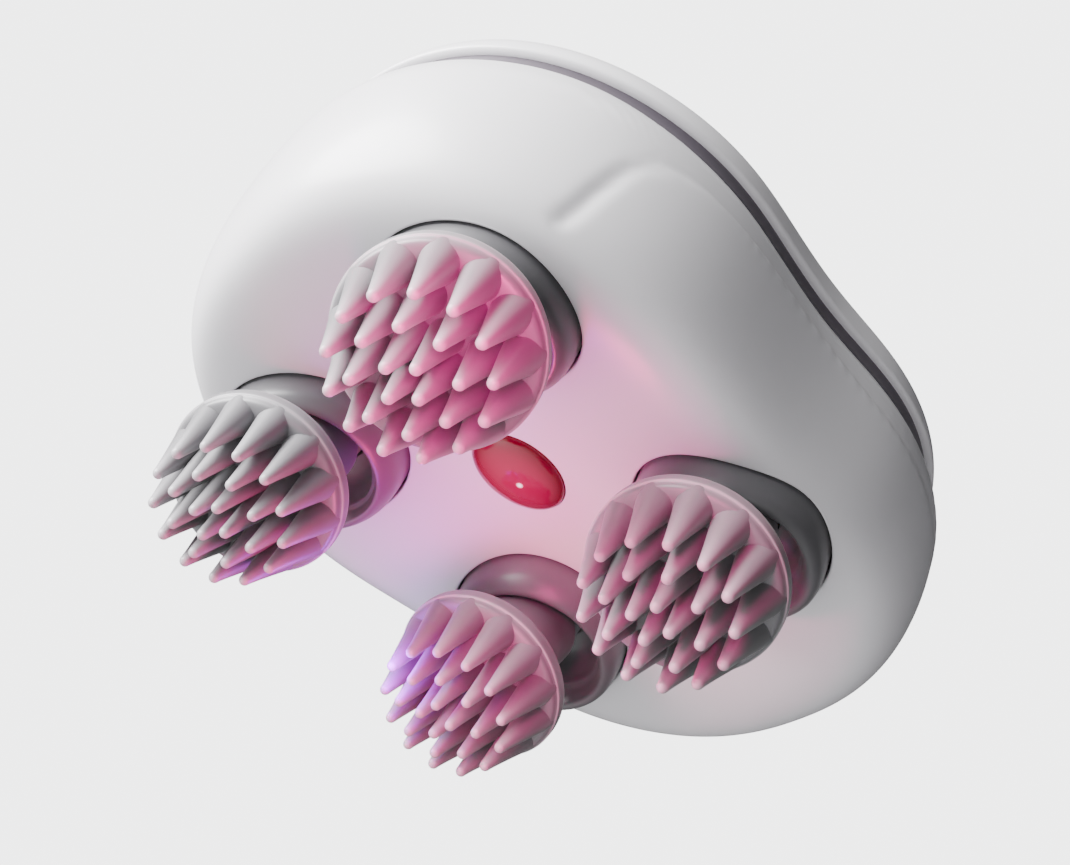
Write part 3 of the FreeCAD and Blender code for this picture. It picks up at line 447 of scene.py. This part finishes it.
def makeLowerShell():
    angle = np.linspace(0, 2 * math.pi, shell["aroundSides"], endpoint=False)
    outer = creased(shellSkin(angle, 0, 0))
    inner = shellSkin(angle, shell["wall"], shell["wall"])[::-3]  # every third row, from the lip back in
    inner[0, :, 2] = outer[-1, :, 2]
    lip = []
    for turn in np.linspace(0, math.pi, 9)[1:-1]:  # rounded lip between the two skins
        mix = (1 - math.cos(turn)) / 2
        row = outer[-1] * (1 - mix) + inner[0] * mix
        row[:, 2] += shell["edgeRound"] * math.sin(turn)
        lip.append(row)
    inner[:, :, 2] = np.minimum(inner[:, :, 2], outer[-1, 0, 2])
    body = np.concatenate([outer, np.stack(lip), inner])
    piece = meshPiece("lowerShell", [(body, True, True)], "housing", shellWhite,
                      ["lower_shell"], sharp=40)
    cutter = meshPiece("shellCutter", cutterMesh(), "housing", shellWhite)
    change = piece.modifiers.new("openings", "BOOLEAN")
    change.operation, change.solver, change.object = "DIFFERENCE", "EXACT", cutter
    bpy.context.view_layer.update()
    cut = bpy.data.meshes.new_from_object(piece.evaluated_get(bpy.context.evaluated_depsgraph_get()))
    piece.modifiers.clear()
    old = piece.data
    piece.data = cut
    cut.name = "lowerShell"
    bpy.data.meshes.remove(old)
    bpy.data.meshes.remove(cutter.data)
    cut.materials.clear()
    cut.materials.append(shellWhite)
    cut.polygons.foreach_set("use_smooth", np.ones(len(cut.polygons), bool))
    cut.set_sharp_from_angle(angle=math.radians(35))
    return piece


makeLowerShell()


def makeOpeningEdge(letter):
    # rounded edge of a head's opening: a bent strip from the belly's skin up into the hole
    x, y = headCentre(letter)
    angle = np.linspace(0, 2 * math.pi, 160, endpoint=False)
    c, s = np.cos(angle), np.sin(angle)
    hole, wide = shell["openingRadius"], shell["openingRadius"] + shell["edgeRound"]

    def level(radius):
        return surfaceLevel(x + radius * c, y + radius * s)

    edge = level(wide)
    slope = (level(wide + 0.1) - level(wide - 0.1)) / 0.2
    corner = edge - slope * shell["edgeRound"]
    rows = []
    for t in np.linspace(0, 1, 8):
        radius = (1 - t) ** 2 * wide + (1 - (1 - t) ** 2) * hole
        height = (1 - t) ** 2 * edge + 2 * t * (1 - t) * corner + t ** 2 * (corner + 0.55)
        rows.append((radius, height))
    rows += [(hole, corner + 3), (wide + 0.3, corner + 3), (wide + 0.3, edge + 0.5),
             (wide + 0.02, edge + 0.05)]
    grid = np.stack([np.stack([x + r * c, y + r * s, place["ringHeight"] + h], -1) for r, h in rows])
    meshPiece(f"openingEdge_{letter}", [(grid, True, True)], "housing", shellWhite, sharp=60)


for letter in headCentres:
    makeOpeningEdge(letter)
print("lower shell made")

cover = {"gap": 3.0, "rise": 16.8, "inset": 2.1, "power": 2.2, "wall": 2.0, "sides": 360, "buttonHole": 9.3,
         "edgeRound": 0.5}
band = {"recess": 4.95, "ribRecess": 3.2, "below": 2.3, "above": 1.5, "wall": 1.6, "slack": 0.05}


def coverRow(weight, inset, level, angle):
    core = oval(angle, 0, cover["buttonHole"], cover["buttonHole"])
    flat = core + (outline(angle, inset) - core) * weight
    return np.concatenate([flat, np.full((len(angle), 1), place["ringHeight"] + level)], -1)


def coverSkin(angle, inset, rise):
    # half ellipsoid-like dome: height = edge + rise * sqrt(1 - weight^power)
    edge = shell["lip"] + cover["gap"]
    rows = [coverRow(w, inset, edge + rise * math.sqrt(1 - w ** cover["power"]), angle)
            for w in np.linspace(0, 0.7, 30)]
    start = math.asin(0.7 ** (cover["power"] / 2))
    for turn in np.linspace(start, math.pi / 2, 40)[1:]:
        w = math.sin(turn) ** (2 / cover["power"])
        rows.append(coverRow(w, inset, edge + rise * math.cos(turn), angle))
    return np.stack(rows)


def makeTopCover():
    angle = np.linspace(0, 2 * math.pi, cover["sides"], endpoint=False)
    outer = coverSkin(angle, cover["inset"], cover["rise"])
    inner = coverSkin(angle, cover["inset"] + cover["wall"], cover["rise"] - cover["wall"])[::-1]
    lip = []
    for turn in np.linspace(0, math.pi, 9)[1:-1]:
        mix = (1 - math.cos(turn)) / 2
        row = outer[-1] * (1 - mix) + inner[0] * mix
        row[:, 2] -= cover["edgeRound"] * math.sin(turn)
        lip.append(row)
    body = np.concatenate([outer, np.stack(lip), inner])
    meshPiece("topCover", [(body, True, True)], "housing", shellWhite, ["top_cover"], sharp=50)


def makeSeamBand():
    # upright strip inside both edges; its rib, slightly hollow, fills the back of the groove
    angle = np.linspace(0, 2 * math.pi, 360, endpoint=False)
    low, high = shell["lip"] - band["below"], shell["lip"] + cover["gap"] + band["above"]
    ribLow, ribHigh = shell["lip"] + band["slack"], shell["lip"] + cover["gap"] - band["slack"]
    profile = [(band["recess"], low), (band["recess"], ribLow)]
    for share in np.linspace(0, 1, 9):
        hollow = 0.15 * math.sin(math.pi * share)
        profile.append((band["ribRecess"] + hollow, ribLow + (ribHigh - ribLow) * share))
    profile += [(band["recess"], ribHigh), (band["recess"], high)]
    profile += [(band["recess"] + band["wall"], high), (band["recess"] + band["wall"], low)]
    rows = [coverRow(1, inset, level, angle) for inset, level in profile]
    # the band's dark colour is partly painted shade in the groove
    meshPiece("seamBand", [(np.stack(rows), True, True)], "housing", bandDarkWithShade, ["seam_band"])


makeTopCover()
makeSeamBand()

button = {"radius": 7.6, "level": 42.4, "tall": 3.9, "ring": 9.3, "ringTop": 46.35, "gap": 0.3}


def makeButton():
    r, top, low = button["radius"], button["level"] + button["tall"], button["level"]
    profile = smoothLine([(0, top - 0.7), (r * 0.35, top - 0.62), (r * 0.7, top - 0.3),
                          (r * 0.88, top - 0.06),
                          (r - 0.45, top), (r - 0.1, top - 0.2), (r, top - 0.7)], 5)
    profile = np.vstack([profile, [(r, low + 0.3), (r - 0.3, low), (0, low)]])
    grid = turned(profile, 96) + np.array([0, 0, place["ringHeight"]])
    meshPiece("powerButton", [(grid, False, True)], "button", buttonWhite, ["power_button"])


def makeButtonRing():
    inner, outer, top = button["radius"] + button["gap"], button["ring"], button["ringTop"] - 0.35
    low = button["level"] - 0.9
    profile = smoothLine([(outer, top - 0.5), (outer - 0.12, top - 0.12), (outer - 0.45, top),
                          (inner + 0.4, top - 0.05), (inner + 0.08, top - 0.3), (inner, top - 0.7)], 5)
    profile = np.vstack([profile, [(inner, low), (outer, low)]])
    grid = turned(profile, 128) + np.array([0, 0, place["ringHeight"]])
    meshPiece("buttonRing", [(grid, True, True)], "housing", ringChrome, ["button_ring"])


makeButton()
makeButtonRing()
print("cover, band and button made")

boot = {"bulge": 5.0, "sides": 128, "radius": 13.7}


def makeBoot(letter):
    # a soft ring: bulging outside, a step, then down into the groove beside the neck
    x, y = headCentre(letter)
    b = boot["bulge"]
    profile = smoothLine([(13.7, 1.6), (13.7, 0.2), (13.62, -1.4), (13.35, 2.0 - b), (12.8, 0.95 - b),
                          (12.1, 0.3 - b),
                          (11.5, 0.28 - b), (11.1, 0.9 - b), (10.75, 1.7 - b), (10.4, 2.1 - b),
                          (10.1, 2.5 - b),
                          (9.95, 3.6 - b), (9.7, -0.2), (9.4, 1.4)], 6)
    inner = np.array([(8.6, 2.8), (6.4, 3.7), (6.4, 4.8), (9.0, 5.4), (13.0, 5.4), (13.7, 4.6)])
    profile = np.vstack([profile, inner])
    grid = turned(profile, boot["sides"])
    # the ring's outer side follows the dished belly, its inner side stays level
    share = np.clip((profile[:, 0] - 9.6) / (boot["radius"] - 9.6), 0, 1)
    share = (share * share * (3 - 2 * share))[:, None] * (profile[:, 1] < 3)[:, None]
    angle = np.linspace(0, 2 * math.pi, boot["sides"], endpoint=False)
    level = surfaceLevel(x + boot["radius"] * np.cos(angle), y + boot["radius"] * np.sin(angle))
    grid[:, :, 2] += share * level
    grid = grid + np.array([x, y, place["ringHeight"]])
    meshPiece(f"boot_soft_{letter}", [(grid, True, True)], "housing", bootGrey,
              [f"boot_{letter}"], sharp=50)


for letter in headCentres:
    makeBoot(letter)
print("boots made")

head = {"sides": 104, "top": -22.3, "tipRadius": 0.78, "fingerSides": 24,
        # per ring of fingers: count, radius at the tips, radius at the roots, reach, turn, root radius
        "rings": ((13, 9.4, 10.2, 32.8, 0.0, 2.7), (8, 6.1, 6.5, 34.2, 0.5, 2.6),
                  (4, 2.4, 2.6, 34.8, 0.25, 2.5))}


def headBack():
    # neck, flare, rim band with its bead, and the gently domed floor between the fingers
    back = smoothLine([(5.0, -5.0), (6.6, -5.0), (7.2, -5.6), (7.2, -9.0), (7.2, -12.6), (7.6, -15.2),
                       (8.9, -17.6),
                       (10.9, -19.3), (12.3, -20.0), (12.85, -20.45), (13.0, -21.0)], 5)
    rim = smoothLine([(13.0, -21.0), (13.0, -22.1), (12.96, -22.35), (12.8, -22.5), (12.7, -22.75),
                      (12.4, -23.3), (11.6, -23.6), (9.5, -23.8), (5.0, -24.1), (0.0, -24.2)], 5)
    return np.vstack([back, rim[1:]])


def fingerGrid(reach, foot, tipPlace, rootPlace):
    # a straight taper from a wide foot to a round tip, leaning in from its root to its tip
    tip, top = head["tipRadius"], head["top"]
    low = tip - reach
    t = np.linspace(0, 1, 14)
    radius = tip + (foot - tip) * (1 - t) ** 1.08
    height = top + (low - top) * t
    turn = np.linspace(0, math.pi / 2, 7)[1:]
    cap = np.stack([tip * np.cos(turn), low - tip * np.sin(turn)], -1)
    profile = np.vstack([[(0, top)], np.stack([radius, height], -1), cap])
    grid = turned(profile, head["fingerSides"])
    lean = np.clip((profile[:, 1] - low) / (top - low), 0, 1)
    grid[..., 0] += (tipPlace + (rootPlace - tipPlace) * lean)[:, None]
    return grid


def makeHead(letter):
    x, y = headCentre(letter)
    turn = np.array(leanMatrix(letter))
    pivot = np.array([x, y, place["ringHeight"] + place["pivotRise"]])
    core = np.array([(9.6, -19.2), (5.0, -19.2)])
    body = turned(np.vstack([headBack(), [(0, -21.5)], [(9.6, -21.5)], core]), head["sides"])
    grids, pale = [(body, True, True)], []
    # painted highlight: a pale line round the rim's bead
    edge = np.exp(-((body[..., 2] + 22.4) / 0.28) ** 2) * (body[..., 0] ** 2 + body[..., 1] ** 2 > 12.5 ** 2)
    pale.append(0.75 * edge.ravel())
    for count, tipPlace, rootPlace, reach, phase, foot in head["rings"]:
        straight = fingerGrid(reach, foot, tipPlace, rootPlace)
        for index in range(count):
            a = 2 * math.pi * (index + phase) / count + math.pi
            around = np.array(Matrix.Rotation(a, 3, "Z"))
            finger = straight @ around.T
            grids.append((finger, False, True))
            # paler towards the finger tips
            share = np.clip((-finger[..., 2] - 25) / (reach - 25), 0, 1)
            pale.append((share ** 2.5).ravel())
    grids = [(grid @ turn.T + pivot, closeRows, closeColumns) for grid, closeRows, closeColumns in grids]
    meshPiece(f"headSoft_{letter}", grids, f"head_{letter}", fingerSilicone,
              [f"head_cap_{letter}"], sharp=60, attributes={"pale": np.concatenate(pale)})


for letter in headCentres:
    makeHead(letter)
print("heads made")

# lens size, bulge and height; the last three set the place and size of the painted highlight on it
lamp = {"halfX": 7.45, "halfY": 5.95, "bulge": 2.2, "level": 2.5, "highlightX": 0.9, "highlightY": -0.4, "highlightSize": 1.5}


def makeLamp():
    # oval dome below the belly, a straight barrel and a closed back
    angle = np.linspace(0, 2 * math.pi, 96, endpoint=False)
    rows, glow = [], []
    for turn in np.linspace(0, math.pi / 2, 40):
        k = math.sin(turn)
        rows.append((k, lamp["level"] - lamp["bulge"] * math.cos(turn)))
    rows += [(1, lamp["level"] + 3.2), (0, lamp["level"] + 3.2)]
    grid = []
    for k, level in rows:
        flat = oval(angle, place["headsMiddle"], lamp["halfX"] * k, lamp["halfY"] * k)
        # distance from the painted highlight, a white spot just off the lens's middle
        away = np.hypot(flat[:, 0] - place["headsMiddle"] - lamp["highlightX"], flat[:, 1] - lamp["highlightY"])
        grid.append(np.concatenate([flat, np.full((96, 1), place["ringHeight"] + level)], -1))
        # the lamp's glow falls off to the rim; the painted highlight is added as a spot
        glow.append(np.maximum(0.9 * (1 - k ** 2) * 0.9, np.exp(-(away / lamp["highlightSize"]) ** 2))
                    * (level < lamp["level"] + 0.1))
    meshPiece("lampLens", [(np.stack(grid), False, True)], "housing", lampRed, ["lamp_lens"],
              attributes={"glow": np.concatenate(glow)})


makeLamp()
print("lamp made")

camera = {"at": (-0.053864, -0.139328, -0.092684), "lens": 46.312,
          "right": (0.733763, -0.586250, 0.343370), "up": (-0.633002, -0.406333, 0.658940),
          "back": (-0.246781, -0.700860, -0.669249)}
lookFrame = Matrix((camera["right"], camera["up"], camera["back"])).transposed()


def makeCamera():
    data = bpy.data.cameras.new("viewCamera")
    data.sensor_width, data.lens, data.clip_start, data.clip_end = 36, camera["lens"], 0.005, 20
    item = bpy.data.objects.new("viewCamera", data)
    item.matrix_world = Matrix.Translation(camera["at"]) @ lookFrame.to_4x4()
    bpy.context.scene.collection.objects.link(item)
    bpy.context.scene.camera = item


lights = {  # offsets from the middle of the heads along the camera's right, up and back, in metres
    "keySoft": {"offset": (-0.45, 0.52, 0.10), "size": 0.60, "watts": 38.0, "color": (1, 1, 1)},
    "fillLow": {"offset": (-0.20, -0.50, 0.40), "size": 0.4, "watts": 0.05, "color": (1.0, 0.90, 0.95)},
    "rimTop": {"offset": (0.15, 0.60, -0.20), "size": 0.3, "watts": 0.6, "color": (1, 1, 1)},
}
glows = {  # points of coloured light: place in millimetres, watts, colour, size, and the pieces each lights
    "lampGlow": {"at": (-8.0, -3.0, -50.0), "watts": 0.12, "color": (1.0, 0.015, 0.30), "size": 8,
                 "only": ("headSoft", "boot_soft", "head_core")},
    "frontGlow": {"at": (-36.0, -62.0, -48.0), "watts": 0.30, "color": (1.0, 0.02, 0.32), "size": 10,
                  "only": ("headSoft_a", "headSoft_c", "boot_soft_c", "headSoft_d")},
    "bellyGlow": {"at": (0.0, 2.0, -24.0), "watts": 0.055, "color": (1.0, 0.01, 0.26), "size": 5,
                  "only": ("lowerShell", "openingEdge", "boot_soft")},
    "lampHalo": {"at": (-2.0, 18.0, -24.0), "watts": 0.03, "color": (0.45, 0.03, 1.0), "size": 5,
                 "only": ("lowerShell", "openingEdge", "boot_soft", "headSoft")},
}


def makeLights():
    middle = Vector((place["headsMiddle"] * mm, 0, (place["ringHeight"] + 5) * mm))
    for name, facts in lights.items():
        data = bpy.data.lights.new(name, "AREA")
        data.shape, data.size, data.energy, data.color = "DISK", facts["size"], facts["watts"], facts["color"]
        item = bpy.data.objects.new(name, data)
        spot = middle + lookFrame @ Vector(facts["offset"])
        item.matrix_world = (Matrix.Translation(spot)
                             @ (spot - middle).to_track_quat("Z", "Y").to_matrix().to_4x4())
        bpy.context.scene.collection.objects.link(item)
    for name, facts in glows.items():
        data = bpy.data.lights.new(name, "POINT")
        data.energy, data.color, data.shadow_soft_size = facts["watts"], facts["color"], facts["size"] * mm
        item = bpy.data.objects.new(name, data)
        item.location = (Vector(facts["at"]) + Vector((0, 0, place["ringHeight"]))) * mm
        bpy.context.scene.collection.objects.link(item)
        lit = bpy.data.collections.new(name + "Lit")
        for piece in bpy.data.objects:
            if piece.name.startswith(facts["only"]):
                lit.objects.link(piece)
        item.light_linking.receiver_collection = lit


def makeSurroundings():
    world = bpy.data.worlds.new("studio")
    bpy.context.scene.world = world
    world.use_nodes = True
    n, link = world.node_tree.nodes, world.node_tree.links.new
    soft = n["Background"]
    soft.inputs["Color"].default_value = (0.80, 0.81, 0.84, 1)
    soft.inputs["Strength"].default_value = 0.10
    # the backdrop itself is brighter than the light that it gives
    backdrop, mix = n.new("ShaderNodeBackground"), n.new("ShaderNodeMixShader")
    ray = n.new("ShaderNodeLightPath")
    backdrop.inputs["Color"].default_value = (0.985, 0.99, 1.0, 1)
    backdrop.inputs["Strength"].default_value = 4.3
    link(ray.outputs["Is Camera Ray"], mix.inputs["Fac"])
    link(soft.outputs["Background"], mix.inputs[1])
    link(backdrop.outputs["Background"], mix.inputs[2])
    link(mix.outputs["Shader"], n["World Output"].inputs["Surface"])
    paint = finish("floor_pale", (0.62, 0.62, 0.63), 0.7, darker=0.99, bump=0.0)
    mesh = bpy.data.meshes.new("floor")
    half, level = 4.0, -0.45
    corners = [(-half, -half, level), (half, -half, level), (half, half, level), (-half, half, level)]
    mesh.from_pydata(corners, [], [(0, 1, 2, 3)])
    mesh.materials.append(paint)
    item = bpy.data.objects.new("floor", mesh)
    bpy.context.scene.collection.objects.link(item)


makeCamera()
makeLights()
makeSurroundings()
print("camera and light made")
